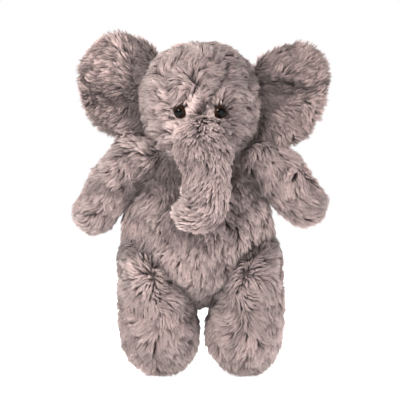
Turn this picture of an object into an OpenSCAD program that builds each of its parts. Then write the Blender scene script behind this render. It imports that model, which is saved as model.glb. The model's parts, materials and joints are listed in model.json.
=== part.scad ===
// Stuffed elephant, sewn from plush panels over fibre filling.
// It stands upright and faces -Y. Z is up, +X is the elephant's own left, and the origin
// is on the floor under the middle of its outline. The numbers below are measured from the
// middle of the body, and place() moves the whole toy back so that its outline is centred.
// Every plush panel is taken to the middle of its pile, so fur stands a few millimetres
// proud of these solids.

/* [Fabric] */
// Thickness of a plush panel, from its backing to the middle of the pile
fabric_t = 3.6; // [2.5:0.1:4.5]
// Space between a panel and the filling behind it
fill_gap = 0.3; // [0.2:0.1:0.8]

/* [Head] */
// Width of the head, side to side
head_w = 116; // [112:1:118]
// Height and depth of the head
head_d = 104; // [100:1:106]
// Height of the middle of the head above the floor
head_z = 281; // [280:1:286]
// Width of the gusset that runs over the head from chin to nape
gusset_w = 26; // [20:1:28]

/* [Eyes] */
// Diameter of the safety eye
eye_d = 10.5; // [9:0.5:12]
// Distance between the middles of the eyes
eye_spacing = 41; // [38:1:46]
// Height of the eyes above the floor
eye_z = 263; // [261:1:268]
// Diameter of the locking washer behind each eye
washer_d = 12; // [11:0.5:13]

/* [Ears] */
// Width of an ear, measured straight across
ear_w = 74; // [66:1:78]
// Height of an ear
ear_h = 100; // [90:1:104]
// Thickness of an ear with its wadding
ear_t = 15; // [13:0.5:15]
// Radius to which the ear is dished
ear_dish_r = 200; // [180:10:300]

/* [Trunk] */
// Radius of the trunk where it leaves the face
trunk_root_r = 26; // [24:0.5:26]
// Radius of the trunk at its bend
trunk_mid_r = 20.5; // [19:0.5:21]
// Radius of the trunk at its lowest turn
trunk_elbow_r = 18; // [17:0.5:18.5]
// Radius of the trunk's rounded tip
trunk_tip_r = 13; // [11:0.5:15]

/* [Torso] */
// Width of the torso across the hips
torso_w = 156; // [150:1:158]
// Depth of the torso, belly to back
torso_d = 94; // [86:1:96]
// Height of the shoulders above the floor
torso_top = 222; // [216:1:223]
// Height of the crotch above the floor
torso_bottom = 77; // [74:1:82]

/* [Arms] */
// Radius of the arm at the shoulder
arm_r = 24; // [20:0.5:24.5]
// Radius of the paw at the arm's end
paw_r = 20; // [18:0.5:21]

/* [Legs] */
// Radius of the leg at the hip
hip_r = 36; // [33:0.5:36.5]
// Radius of the foot
foot_r = 38; // [35:0.5:38]
// Distance from the middle of the body to the middle of each leg
leg_x = 42; // [41:0.5:44]
// Height of the hip's pivot above the floor
hip_z = 80; // [78:0.5:81]
// Height of the middle of the foot's round end above its flat sole
foot_z = 32; // [31:0.5:34]

/* [Hidden] */

LEFT = 1;
RIGHT = -1;
plush = [0.62, 0.56, 0.55];
plush_pale = [0.68, 0.62, 0.60];
plush_dark = [0.54, 0.48, 0.47];
fibre = [0.94, 0.93, 0.90];
amber_black = [0.12, 0.08, 0.06];
washer_white = [0.85, 0.85, 0.83];

filling_inset = fabric_t + fill_gap;
arc_steps = 9;
far = 400;
clearance = 0.6;

// Torso: an egg that is widest at the hips and narrows to the shoulders
torso_mid_z = 146;
torso_taper = 0.27;
torso_rings = 12;
torso_sides = 26;

// Pivots
shoulder = [61, -2, 208];
paw = [105, -8, 166];
arm_pivot = [paw.z - shoulder.z, 0, shoulder.x - paw.x];
arm_clearance = 2.5;
arm_back_off = 12;
trunk_root = [2, -49, 238];
trunk_bend = [6, -71, 201];
trunk_elbow = [4, -73.5, 167];
trunk_tip = [-16, -77, 168];
trunk_split_y = -74;
foot_y = -5;
leg_split_y = -2;
arm_split_y = -5;

// Ears: the seam line leans in towards the top, and the right ear is set a little higher
ear_seam_right = [53, 4, 286.5];
ear_seam_left = [57, 4, 278];
ear_lean = 10;
ear_reach = 28;
ear_swing = 26;

// The outline runs from the front of the trunk to the back of the head
outline_front = trunk_bend.y - trunk_mid_r;
outline_back = head_d / 2;
origin_shift = -(outline_front + outline_back) / 2;

// Eyes
eye_dome_h = 4.6;
eye_sink = 2.6;
shank_d = 3.6;
shank_len = 9;
washer_t = 1.5;
washer_gap = 0.5;
fit = 0.15;

// ---------- shared shapes ----------

// Half outline of a stuffed limb: round ends of radius r1 and r2, len apart, joined by a taper
function limb_outline(len, r1, r2) =
    let (lean = asin((r1 - r2) / len))
    concat(
        [for (i = [0:arc_steps]) let (a = -90 + (90 + lean) * i / arc_steps)
            [r1 * max(0, cos(a)), r1 * sin(a)]],
        [for (i = [0:arc_steps]) let (a = lean + (90 - lean) * i / arc_steps)
            [r2 * max(0, cos(a)), len + r2 * sin(a)]]
    );

module limb(len, r1, r2) {
    rotate_extrude($fn = 64) polygon(limb_outline(len, r1, r2));
}

// Puts its child's Z axis on the line from a to b
module along(a, b) {
    d = b - a;
    translate(a) rotate([0, acos(d.z / norm(d)), atan2(d.y, d.x)]) children();
}

// The part of its child on one side (+1 or -1) of the plane x = at, or below of y = at
module keep_x(side, at = 0) {
    intersection() {
        children();
        translate([at + side * far / 2, 0, 0]) cube(far * [1, 2, 2], center = true);
    }
}

module keep_y(side, at = 0) {
    intersection() {
        children();
        translate([0, at + side * far / 2, 0]) cube(far * [2, 1, 2], center = true);
    }
}

module mirrored(side) {
    if (side == LEFT) children();
    else mirror([1, 0, 0]) children();
}

// A closed skin over a stack of rings, each ring a list of the same number of points
module skin(rings) {
    n = len(rings[0]);
    last = len(rings) - 1;
    walls = [for (k = [0:last - 1], i = [0:n - 1]) let (j = (i + 1) % n)
        [k * n + i, (k + 1) * n + i, (k + 1) * n + j, k * n + j]];
    split = [for (q = walls) each [[q[0], q[1], q[2]], [q[0], q[2], q[3]]]];
    ends = [[for (i = [0:n - 1]) i], [for (i = [n - 1:-1:0]) last * n + i]];
    polyhedron([for (r = rings) each r], concat(split, ends));
}

module place() { translate([0, origin_shift, 0]) children(); }

// ---------- torso ----------

function smooth(t) = let (u = max(0, min(1, t))) u * u * (3 - 2 * u);
function signed_pow(v, p) = sign(v) * pow(abs(v), p);

// Rings of the torso's egg, drawn in by inset all round
function torso_ring(k, inset) =
    let (
        a = -84 + 168 * k / (torso_rings - 1),
        up = a > 0,
        round_p = up ? 0.62 : 0.92,
        reach = up ? torso_top - torso_mid_z : torso_mid_z - torso_bottom,
        z = torso_mid_z + (reach - inset) * signed_pow(sin(a), round_p) / pow(sin(84), round_p),
        girth = pow(cos(a), round_p),
        narrow = 1 - torso_taper * smooth((z - 128) / 84),
        rx = (torso_w / 2 - inset) * girth * narrow,
        ry = (torso_d / 2 - inset) * girth * (1 - 0.5 * (1 - narrow))
    )
    [for (i = [0:torso_sides - 1]) let (t = 360 * i / torso_sides)
        [rx * signed_pow(cos(t), 0.85), ry * signed_pow(sin(t), 0.85), z]];

module torso_egg(inset = 0) {
    skin([for (k = [0:torso_rings - 1]) torso_ring(k, inset)]);
}

// Room for the arm's round top, for the arm as it swings, and for the legs as they fold
module torso_joint_room() {
    half = arm_r + clearance;
    for (side = [LEFT, RIGHT]) mirrored(side) {
        translate(shoulder) sphere(r = arm_r + arm_clearance, $fn = 64);
        along(shoulder, shoulder + arm_pivot)
            translate([-arm_back_off, -far / 2, -half]) cube([far, far, 2 * half]);
        translate([leg_x, 0, hip_z]) rotate([90, 0, 0])
            cylinder(r = foot_r + clearance, h = far, center = true, $fn = 96);
    }
}

module torso_panel(side, front) {
    color(side == front ? plush : plush_pale) keep_x(side) keep_y(front)
        difference() {
            torso_egg();
            torso_egg(fabric_t);
            torso_joint_room();
        }
}

module torso_front_left() { torso_panel(LEFT, -1); }
module torso_front_right() { torso_panel(RIGHT, -1); }
module torso_back_left() { torso_panel(LEFT, 1); }
module torso_back_right() { torso_panel(RIGHT, 1); }

module torso_filling() {
    color(fibre) difference() {
        torso_egg(filling_inset);
        torso_joint_room();
    }
}

// ---------- head ----------

function head_outline(inset) =
    let (w = head_w / 2 - inset, r = head_d / 2 - inset, steps = 3 * arc_steps)
    [for (i = [0:steps]) let (a = -90 + 180 * i / steps)
        [r * pow(max(0, cos(a)), 0.92), w * sin(a)]];

module head_ball(inset = 0) {
    translate([0, 0, head_z]) rotate([0, 90, 0])
        rotate_extrude($fn = 96) polygon(head_outline(inset));
}

// Height, depth and facing of an eye on the head's surface
eye_x = eye_spacing / 2;
eye_drop = eye_z - head_z;
eye_ring_r = head_d / 2 * sqrt(1 - pow(2 * eye_x / head_w, 2));
eye_y = -sqrt(pow(eye_ring_r, 2) - pow(eye_drop, 2));
eye_at = [eye_x, eye_y, eye_z];
eye_facing = [4 * eye_x / pow(head_w, 2), 4 * eye_y / pow(head_d, 2), 4 * eye_drop / pow(head_d, 2)];

module at_eye() { along(eye_at, eye_at + eye_facing * 1000) children(); }

// Recess for the eye in the pile, with the hole for its shank
module eye_recess() {
    at_eye() {
        translate([0, 0, -eye_sink]) cylinder(d = eye_d + 4 * fit, h = far / 10, $fn = 48);
        translate([0, 0, -far / 20]) cylinder(d = shank_d + 2 * fit, h = far / 20, $fn = 32);
    }
}

// Hollow in the filling round the shank and its washer
module washer_room() {
    depth = eye_sink + shank_len + 2;
    at_eye() translate([0, 0, -depth]) cylinder(d = washer_d + 2, h = depth, $fn = 48);
}

// Slot in the head where an ear is sewn in, wide enough for it to flap
module ear_slot(side) {
    half = ear_t / 2 + 2.2;
    out = 34;
    spread = half + out * tan(ear_swing);
    at_ear(side) translate([0, 0, -ear_h / 2])
        linear_extrude(ear_h)
            polygon([[-half, -half - 1], [0, -half - 4], [out, -spread - 4],
                     [out, spread], [0, half], [-half, half]]);
}

module head_joint_room() {
    translate(trunk_root) sphere(r = trunk_root_r + clearance, $fn = 64);
    for (side = [LEFT, RIGHT]) ear_slot(side);
}

module head_shell() {
    difference() {
        head_ball();
        head_ball(fabric_t);
        head_joint_room();
        for (side = [LEFT, RIGHT]) mirrored(side) eye_recess();
    }
}

module head_side(side) {
    color(plush) keep_x(side, side * gusset_w / 2) head_shell();
}

module head_side_left() { head_side(LEFT); }
module head_side_right() { head_side(RIGHT); }

module head_gusset() {
    color(plush_pale) intersection() {
        head_shell();
        translate([0, 0, head_z]) cube([gusset_w, far, far], center = true);
    }
}

module head_filling() {
    color(fibre) difference() {
        head_ball(filling_inset);
        head_joint_room();
        for (side = [LEFT, RIGHT]) mirrored(side) washer_room();
    }
}

// ---------- eyes ----------

// Domed safety eye with its shank
module eye(side) {
    dome_r = (pow(eye_d / 2, 2) + pow(eye_dome_h, 2)) / (2 * eye_dome_h);
    color(amber_black) mirrored(side) at_eye() translate([0, 0, -eye_sink]) {
        intersection() {
            translate([0, 0, eye_dome_h - dome_r]) sphere(r = dome_r, $fn = 64);
            cylinder(d = eye_d, h = eye_dome_h + 1, $fn = 64);
        }
        translate([0, 0, -shank_len]) cylinder(d = shank_d, h = shank_len + 0.5, $fn = 32);
    }
}

module eye_left() { eye(LEFT); }
module eye_right() { eye(RIGHT); }

// Locking washer pressed onto the shank behind the fabric
module eye_washer(side) {
    color(washer_white) mirrored(side) at_eye()
        translate([0, 0, -filling_inset - washer_gap - washer_t])
            difference() {
                cylinder(d = washer_d, h = washer_t, $fn = 48);
                translate([0, 0, -1]) cylinder(d = shank_d + 2 * fit, h = washer_t + 2, $fn = 32);
            }
}

module eye_washer_left() { eye_washer(LEFT); }
module eye_washer_right() { eye_washer(RIGHT); }

// ---------- ears ----------

// Ear frame: Z runs up the seam line, X points out from the head, Y points back
module at_ear(side) {
    mirrored(side)
        translate(side == LEFT ? ear_seam_left : ear_seam_right)
            rotate([0, -ear_lean, 0]) children();
}

// Outline of the ear: an ellipse cut straight where it meets the seam line
module ear_outline(inset = 0) {
    w = ear_w / 2 - inset;
    h = ear_h / 2 - inset;
    open = acos(-(ear_reach - inset) / w);
    steps = 4 * arc_steps;
    polygon([for (i = [0:steps]) let (a = -open + 2 * open * i / steps)
        [ear_reach + w * cos(a), h * sin(a)]]);
}

// One layer of the dished ear, from depth a to depth b behind its front face
module ear_layer(side, a, b, inset = 0) {
    front_r = ear_dish_r - ear_t / 2;
    dish_y = -sqrt(pow(ear_dish_r, 2) - pow(ear_reach, 2));
    at_ear(side) intersection() {
        rotate([90, 0, 0]) linear_extrude(4 * ear_t, center = true) ear_outline(inset);
        translate([ear_reach, dish_y, 0]) difference() {
            sphere(r = front_r + b, $fn = 96);
            sphere(r = front_r + a, $fn = 96);
        }
    }
}

module ear_front(side) { color(plush_dark) ear_layer(side, 0, fabric_t); }
module ear_back(side) { color(plush) ear_layer(side, ear_t - fabric_t, ear_t); }
module ear_wadding(side) {
    color(fibre) ear_layer(side, filling_inset, ear_t - filling_inset, fabric_t);
}

module ear_front_left() { ear_front(LEFT); }
module ear_front_right() { ear_front(RIGHT); }
module ear_wadding_left() { ear_wadding(LEFT); }
module ear_wadding_right() { ear_wadding(RIGHT); }
module ear_back_left() { ear_back(LEFT); }
module ear_back_right() { ear_back(RIGHT); }

// ---------- trunk ----------

trunk_upper_len = norm(trunk_bend - trunk_root);

// Hollow at the end of the upper trunk, wider than the lower trunk's round top so that it can curl
module trunk_curl_room() {
    hollow_r = 1.45 * trunk_mid_r;
    drop = hollow_r - trunk_mid_r - clearance;
    way = (trunk_bend - trunk_root) / trunk_upper_len;
    translate(trunk_bend + drop * way) sphere(r = hollow_r, $fn = 64);
}

module trunk_upper(inset = 0) {
    limb(trunk_upper_len, trunk_root_r - inset, trunk_mid_r - inset);
}

module trunk_upper_shell(side) {
    difference() {
        along(trunk_root, trunk_bend) keep_x(side) difference() {
            trunk_upper();
            trunk_upper(fabric_t);
        }
        trunk_curl_room();
    }
}

module trunk_upper_top() { color(plush) trunk_upper_shell(1); }
module trunk_upper_under() { color(plush_pale) trunk_upper_shell(-1); }

module trunk_upper_filling() {
    color(fibre) difference() {
        along(trunk_root, trunk_bend) trunk_upper(filling_inset);
        trunk_curl_room();
    }
}

// The lower trunk hangs from the bend and then turns up to the elephant's right, like a J
module trunk_lower(inset = 0) {
    along(trunk_bend, trunk_elbow)
        limb(norm(trunk_elbow - trunk_bend), trunk_mid_r - inset, trunk_elbow_r - inset);
    along(trunk_elbow, trunk_tip)
        limb(norm(trunk_tip - trunk_elbow), trunk_elbow_r - 1 - inset, trunk_tip_r - inset);
}

module trunk_lower_shell() {
    difference() {
        trunk_lower();
        trunk_lower(fabric_t);
    }
}

module trunk_lower_front() {
    color(plush_pale) keep_y(-1, trunk_split_y) trunk_lower_shell();
}

module trunk_lower_back() {
    color(plush) keep_y(1, trunk_split_y) trunk_lower_shell();
}

module trunk_lower_filling() { color(fibre) trunk_lower(filling_inset); }

// ---------- arms ----------

module arm(inset = 0) {
    along(shoulder, paw) limb(norm(paw - shoulder), arm_r - inset, paw_r - inset);
}

module arm_panel(side, front) {
    color(front < 0 ? plush_pale : plush) mirrored(side) keep_y(front, arm_split_y)
        difference() {
            arm();
            arm(fabric_t);
        }
}

module arm_front_left() { arm_panel(LEFT, -1); }
module arm_back_left() { arm_panel(LEFT, 1); }
module arm_front_right() { arm_panel(RIGHT, -1); }
module arm_back_right() { arm_panel(RIGHT, 1); }
module arm_filling_left() { color(fibre) arm(filling_inset); }
module arm_filling_right() { color(fibre) mirrored(RIGHT) arm(filling_inset); }

// ---------- legs ----------

// Leg from the round top at the hip to the foot, flat on its sole at the height floor
module leg(inset = 0) {
    hip = [leg_x, 0, hip_z];
    foot = [leg_x, foot_y, foot_z];
    intersection() {
        along(hip, foot) limb(norm(foot - hip), hip_r - inset, foot_r - inset);
        translate([0, 0, inset + far / 2]) cube(far, center = true);
    }
}

module leg_panel(side, front) {
    color(front < 0 ? plush_pale : plush) mirrored(side) keep_y(front, leg_split_y)
        difference() {
            leg();
            leg(fabric_t);
        }
}

module leg_front_left() { leg_panel(LEFT, -1); }
module leg_back_left() { leg_panel(LEFT, 1); }
module leg_front_right() { leg_panel(RIGHT, -1); }
module leg_back_right() { leg_panel(RIGHT, 1); }
module leg_filling_left() { color(fibre) leg(filling_inset); }
module leg_filling_right() { color(fibre) mirrored(RIGHT) leg(filling_inset); }

place() torso_front_left();
place() torso_front_right();
place() torso_back_left();
place() torso_back_right();
place() torso_filling();
place() head_side_left();
place() head_side_right();
place() head_gusset();
place() head_filling();
place() eye_left();
place() eye_right();
place() eye_washer_left();
place() eye_washer_right();
place() ear_front_left();
place() ear_wadding_left();
place() ear_back_left();
place() ear_front_right();
place() ear_wadding_right();
place() ear_back_right();
place() trunk_upper_top();
place() trunk_upper_under();
place() trunk_upper_filling();
place() trunk_lower_front();
place() trunk_lower_back();
place() trunk_lower_filling();
place() arm_front_left();
place() arm_back_left();
place() arm_filling_left();
place() arm_front_right();
place() arm_back_right();
place() arm_filling_right();
place() leg_front_left();
place() leg_back_left();
place() leg_filling_left();
place() leg_front_right();
place() leg_back_right();
place() leg_filling_right();
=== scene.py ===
"""Looks of the stuffed elephant: plush panels with real pile round lumpy filling."""

import json
import math
import bpy
import numpy as np
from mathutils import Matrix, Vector
from mathutils.bvhtree import BVHTree
from mathutils.kdtree import KDTree


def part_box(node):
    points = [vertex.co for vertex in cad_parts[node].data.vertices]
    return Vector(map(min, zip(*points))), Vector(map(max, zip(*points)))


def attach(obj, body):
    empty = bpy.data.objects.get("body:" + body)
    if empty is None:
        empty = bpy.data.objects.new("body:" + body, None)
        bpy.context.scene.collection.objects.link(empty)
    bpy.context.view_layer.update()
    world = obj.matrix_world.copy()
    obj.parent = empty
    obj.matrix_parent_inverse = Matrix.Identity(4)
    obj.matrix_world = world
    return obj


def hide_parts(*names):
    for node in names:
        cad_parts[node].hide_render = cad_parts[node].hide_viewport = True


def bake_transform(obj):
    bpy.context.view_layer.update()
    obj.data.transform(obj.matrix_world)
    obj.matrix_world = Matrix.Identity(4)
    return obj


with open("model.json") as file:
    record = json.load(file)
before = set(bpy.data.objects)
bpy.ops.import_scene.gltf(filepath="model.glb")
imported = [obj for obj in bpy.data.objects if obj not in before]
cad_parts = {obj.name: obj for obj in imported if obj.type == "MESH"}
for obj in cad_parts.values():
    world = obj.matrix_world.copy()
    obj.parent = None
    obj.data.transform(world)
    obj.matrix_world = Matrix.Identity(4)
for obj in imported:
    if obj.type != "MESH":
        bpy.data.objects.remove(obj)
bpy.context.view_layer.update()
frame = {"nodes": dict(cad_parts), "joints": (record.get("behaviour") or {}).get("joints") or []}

MM = 0.001
LEFT = 1
RIGHT = -1
SIDE_NAME = {LEFT: "left", RIGHT: "right"}
SIDES = (LEFT, RIGHT)
UP = np.array([0.0, 0.0, 1.0])
DEPTH = np.array([0.0, 1.0, 0.0])
FAR = 1000.0

# How many points the smooth centre lines have
FINE = 400

# The pile: sizes in millimetres; pulls as shares of the way to a tuft's or a clump's tip; and
# how high and how far along its lean a fibre bends, as shares of its height and its run
FIBRES_PER_MM2 = 1.9
FIBRES_PER_TUFT = 6
CLUMP_AREA = 75.0
PILE_LENGTH = 12.0
PILE_HEIGHT = 5.8
FIBRE_RADIUS = 0.32
FIBRE_BEND = (0.66, 0.36)
LOWEST = 0.3
TUFT_PULL = 0.78
CLUMP_PULL = 0.14
SWIRL = 1.15
BURIED = 7.0
MOST_FIBRES = 31500

# The pile's painted shade in creases beside other parts, and its painted shadow under parts over it:
# how far each reaches in millimetres, and how strong it is; the first reach also sets how far the
# pile is pressed shorter
CROWD_REACH = 9.5
PAINTED_CREASE_SHADE = 0.88
PAINTED_SHADOW_REACH = 21.0
PAINTED_SHADING_STRENGTH = 0.95

# Skins and filling, in millimetres but for the steps; then the cloth's settings
BACKING = 1.2
FILLING_GAP = 3.0
LUMP_HEIGHT = 1.1
LUMP_SIZE = 30
SEAM_WIDTH = 2.2
SWELL_STEPS = 20
SWELL_MOST = 3.0
CLOTH = {"quality": 4, "mass": 0.3, "tension_stiffness": 12, "compression_stiffness": 12,
         "shear_stiffness": 6, "bending_stiffness": 0.4, "vertex_group_mass": "pins",
         "use_pressure": True, "uniform_pressure_force": 4.0}

# The eyes, brow and ears, in millimetres; the slope is sideways over upwards
EYE_RADIUS = 6.0
EYE_DOME = 4.6
EYE_FORWARD = 4.4
EYE_DROP = 2.0
EYE_PARTING = 7.0
EYE_DIMPLE = 9.0
BROW_SLOPE = 0.41
EAR_HALF_WIDE = 34.5

# The camera, in metres but for the sensor in millimetres
VIEW_WIDTH = 0.4
VIEW_DISTANCE = 1.5
VIEW_HEIGHT = 0.176
VIEW_RISE = 0.03
VIEW_PLANE = 0.015
SENSOR = 36.0
WHITE = (1.0, 1.0, 1.0)

# The lamps: place in metres, size in metres, power in watts, and colour
LAMPS = {"key": ((-0.85, -1.2, 1.30), 0.32, 47, (1.0, 0.985, 0.96)),
         "fill": ((0.9, -1.5, 0.35), 1.0, 9, WHITE),
         "back_left": ((-1.1, 1.3, 1.1), 0.9, 12, WHITE),
         "back_right": ((1.1, 1.3, 1.1), 0.9, 12, WHITE)}


# ---- sizes from the CAD

def extent(*nodes):
    """Lowest and highest corner of some CAD nodes together, in millimetres."""
    corners = [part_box(n) for n in nodes]
    low = np.min([np.array(c[0]) for c in corners], axis=0) / MM
    high = np.max([np.array(c[1]) for c in corners], axis=0) / MM
    return low, high


def joint_place(name):
    """Where a joint's axis is, in millimetres."""
    found = [j for j in frame["joints"] if j["name"] == name][0]
    return np.array(found["pos_m"]) / MM


# ---- small mathematics

def unit(v):
    """Vectors of length one."""
    return v / np.maximum(np.linalg.norm(v, axis=-1, keepdims=True), 1e-9)


def across(v, n):
    """What is left of v once its share along the unit vectors n is taken out."""
    return v - n * np.sum(v * n, axis=-1, keepdims=True)


def waves(points, size, seed):
    """Smooth noise from about -1 to 1, with features about size millimetres across."""
    rng = np.random.default_rng(seed)
    total = np.zeros(len(points))
    for _ in range(7):
        direction = unit(rng.normal(size=3))
        pace = 2 * math.pi / (size * rng.uniform(1.1, 2.4))
        total += np.sin(points @ direction * pace + rng.uniform(0, 2 * math.pi))
    return np.clip(total / 3.2, -1, 1)


def spline(rows, count):
    """A smooth curve through the rows, at evenly spaced steps from row to row."""
    rows = np.asarray(rows, float)
    ends = np.vstack([2 * rows[0] - rows[1], rows, 2 * rows[-1] - rows[-2]])
    t = np.linspace(0, len(rows) - 1, count)
    i = np.minimum(t.astype(int), len(rows) - 2)
    f = (t - i)[:, None]
    a, b, c, d = (ends[i + k] for k in range(4))
    cubic = -a + 3 * b - 3 * c + d
    square = 2 * a - 5 * b + 4 * c - d
    return 0.5 * (2 * b + (c - a) * f + square * f**2 + cubic * f**3)


def grid_faces(rings, sides):
    """Quads of a closed form: a pole, rings of equal size, and another pole."""
    turned = [(k, (k + 1) % sides) for k in range(sides)]
    faces = [(0, 1 + b, 1 + a) for a, b in turned]
    for start in range(1, 1 + (rings - 1) * sides, sides):
        faces += [(start + a, start + b, start + b + sides, start + a + sides) for a, b in turned]
    last = 1 + rings * sides
    return faces + [(last - sides + a, last - sides + b, last) for a, b in turned]


def vertex_normals(points, faces):
    """Outward unit normals of the points, weighted by the area of the faces round them."""
    normals = np.zeros_like(points)
    tris = triangles(faces)
    a, b, c = (points[tris[:, k]] for k in range(3))
    n = np.cross(b - a, c - a)
    for k in range(3):
        np.add.at(normals, tris[:, k], n)
    return unit(normals)


def triangles(faces):
    """The faces cut into triangles, as an array of corners."""
    out = []
    for f in faces:
        out += [f[:3]] if len(f) == 3 else [f[:3], (f[0], f[2], f[3])]
    return np.array(out)


# ---- the sewn forms

def travelled(line):
    """How far along a line of points each of them is."""
    return np.concatenate([[0], np.cumsum(np.linalg.norm(np.diff(line, axis=0), axis=1))])


def rounding(distance, cap):
    """The share of its full width that a form has some distance from a rounded end."""
    return np.sqrt(np.clip(1 - np.clip(1 - distance / cap, 0, 1) ** 2, 0, 1))


def stuffed_form(stations, first_cap, last_cap, sides, step, square=2.0, blunt=1.0):
    """A closed, rounded skin round a line of stations.

    A station is x, y, z, half width, half depth and tilt in degrees. The two ends are
    rounded off over the lengths of the caps; blunt below 1 makes them fuller."""
    fine = spline(stations, FINE)
    walk = travelled(fine[:, :3])
    total = walk[-1]
    turn = math.pi / 2
    first = first_cap * (1 - np.cos(np.linspace(0, turn, max(4, int(first_cap * 1.5 / step)))))
    last = total - last_cap * (1 - np.cos(np.linspace(turn, 0, max(4, int(last_cap * 1.5 / step)))))
    middle = np.linspace(first[-1], last[0], max(3, int((last[0] - first[-1]) / step)))
    places = np.concatenate([first, middle[1:-1], last])
    at = np.stack([np.interp(places, walk, fine[:, k]) for k in range(6)], axis=1)
    apart = places + 1e-6 * np.arange(len(places))
    ahead = unit(np.stack([np.gradient(at[:, k], apart) for k in range(3)], axis=1))
    cap = np.minimum(rounding(places, first_cap), rounding(total - places, last_cap)) ** blunt
    deep = unit(across(np.tile(DEPTH, (len(at), 1)), ahead))
    wide = unit(np.cross(deep, ahead))
    tilt = np.radians(at[:, 5])[:, None]
    wide = wide * np.cos(tilt) + ahead * np.sin(tilt)
    angle = np.linspace(0, 2 * math.pi, sides, endpoint=False)
    u = np.sign(np.cos(angle)) * np.abs(np.cos(angle)) ** (2 / square)
    v = np.sign(np.sin(angle)) * np.abs(np.sin(angle)) ** (2 / square)
    inner = slice(1, len(places) - 1)
    rings = (at[inner, None, :3]
             + wide[inner, None] * (at[inner, 3] * cap[inner])[:, None, None] * u[None, :, None]
             + deep[inner, None] * (at[inner, 4] * cap[inner])[:, None, None] * v[None, :, None])
    points = np.vstack([at[:1, :3], rings.reshape(-1, 3), at[-1:, :3]])
    along = np.concatenate([[0], np.repeat(places[inner] / total, sides), [1]])
    return {"points": points, "faces": grid_faces(len(places) - 2, sides), "along": along}


def torso_form():
    """The egg-shaped body: broad low belly, narrower chest and shoulders.

    The profile's columns: height as a share, half width, half depth, sideways, backwards."""
    low, high = extent("torso_front_left", "torso_front_right", "torso_back_left", "torso_back_right")
    middle = (low + high) / 2
    tall = high[2] - low[2]
    profile = [(-0.03, 28, 37, 0, -3), (0.09, 33, 42, 0, -3), (0.18, 44, 45, 0, -3),
               (0.30, 60, 46.5, -1, -3), (0.42, 71, 46.5, -2, -3), (0.57, 70, 42, -2, -1),
               (0.80, 61.5, 32, -1, 4), (0.95, 61.5, 27, 0, 7), (1.22, 62, 25, 0, 9)]
    rows = [(dx, middle[1] + dy, low[2] + f * tall, w, d, 0) for f, w, d, dx, dy in profile]
    form = stuffed_form(rows, 34, 14, 84, 3.6, 2.2)
    height = (form["points"][:, 2] - low[2]) / tall
    # Painted light across the belly, and a little painted shade over the rest of the body
    form["painted_shading"] = 0.06 - 0.30 * np.exp(-((height - 0.36) / 0.22) ** 2)
    return form


def head_form():
    """The round head, a little squarer than a ball, with full cheeks.

    The profile's columns: height as a share, half width, half depth, backwards."""
    low, high = extent("head_side_left", "head_side_right", "head_gusset")
    middle = (low + high) / 2
    tall = high[2] - low[2]
    profile = [(-0.09, 54, 47, -1), (0.35, 55.5, 48, -0.5), (0.65, 54.5, 48, 0), (1.0, 53, 46, 0)]
    rows = [(0, middle[1] + dy, low[2] + f * (tall - 3) - 1, w, d, 0) for f, w, d, dy in profile]
    form = stuffed_form(rows, 0.42 * tall, 0.46 * tall, 84, 3.4, 2.2, 0.84)
    press_eyes(form)
    press_brow(form)
    return form


def press_eyes(form):
    """Presses the skin in a little round the eyes, where their washers pull it tight."""
    for side in SIDES:
        eye = eye_place(side)
        points = form["points"]
        away = np.hypot(points[:, 0] - eye[0], points[:, 2] - eye[2])
        in_front = points[:, 1] < eye[1] + 20
        points[:, 1] += np.where(in_front, 2.4 * np.exp(-(away / EYE_DIMPLE) ** 2), 0)


def beside_brow(points):
    """How far points are to the left of the brow's fold, and the fold's depth as a share."""
    start = (eye_place(LEFT) + eye_place(RIGHT)) / 2 - UP * 12
    height = points[:, 2] - start[2]
    in_front = (points[:, 1] < start[1] + 60) & (height > -4)
    depth = np.where(in_front, np.clip(1.1 - height / 90, 0.2, 1), 0)
    return points[:, 0] - start[0] - BROW_SLOPE * height, depth


def press_brow(form):
    """A shallow fold that runs from between the eyes up and over the left of the brow, with painted
    shade along it.
    """
    beside, depth = beside_brow(form["points"])
    fold = depth * np.exp(-(beside / 3.6) ** 2)
    form["points"][:, 1] += 3.0 * fold
    form["painted_shading"] = 0.9 * fold


def part_at_brow(points):
    """Sideways combing away from the brow's fold."""
    beside, depth = beside_brow(points)
    return depth * np.tanh(beside / 1.5) * np.exp(-(beside / 7.0) ** 2)


def eye_place(side):
    """The middle of an eye's front, in millimetres."""
    low, high = extent("eye_" + SIDE_NAME[side])
    return np.array([(low[0] + high[0]) / 2, low[1], (low[2] + high[2]) / 2 - EYE_DROP])


def leg_form(side):
    """A fat leg, whose top slants up and out over the hip so that it meets the belly in a V."""
    name = SIDE_NAME[side]
    low, high = extent("leg_front_" + name, "leg_back_" + name)
    x = (low[0] + high[0]) / 2 + 2
    y = (low[1] + high[1]) / 2
    out = 0 if side == LEFT else 5
    rows = [(x + side * (4 + out), y, 136, 24, 33, side * 46),
            (x + side * (1 + out), y - 1, 112, 35, 40.5, side * 42),
            (x + side * out / 2, y - 1, 92, 37.5, 42, side * 28),
            (x + side * 1.5, y, 70, 35.5, 40.5, side * 12),
            (x + side * 0.5, y, 46, 34, 39.5, side * 2),
            (x - side * 0.5, y, 24, 31.5, 36, 0),
            (x - side * 1, y, 3.5, 26, 30, 0)]
    return stuffed_form(rows, 30, 35, 64, 3.6, 2.1)


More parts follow.
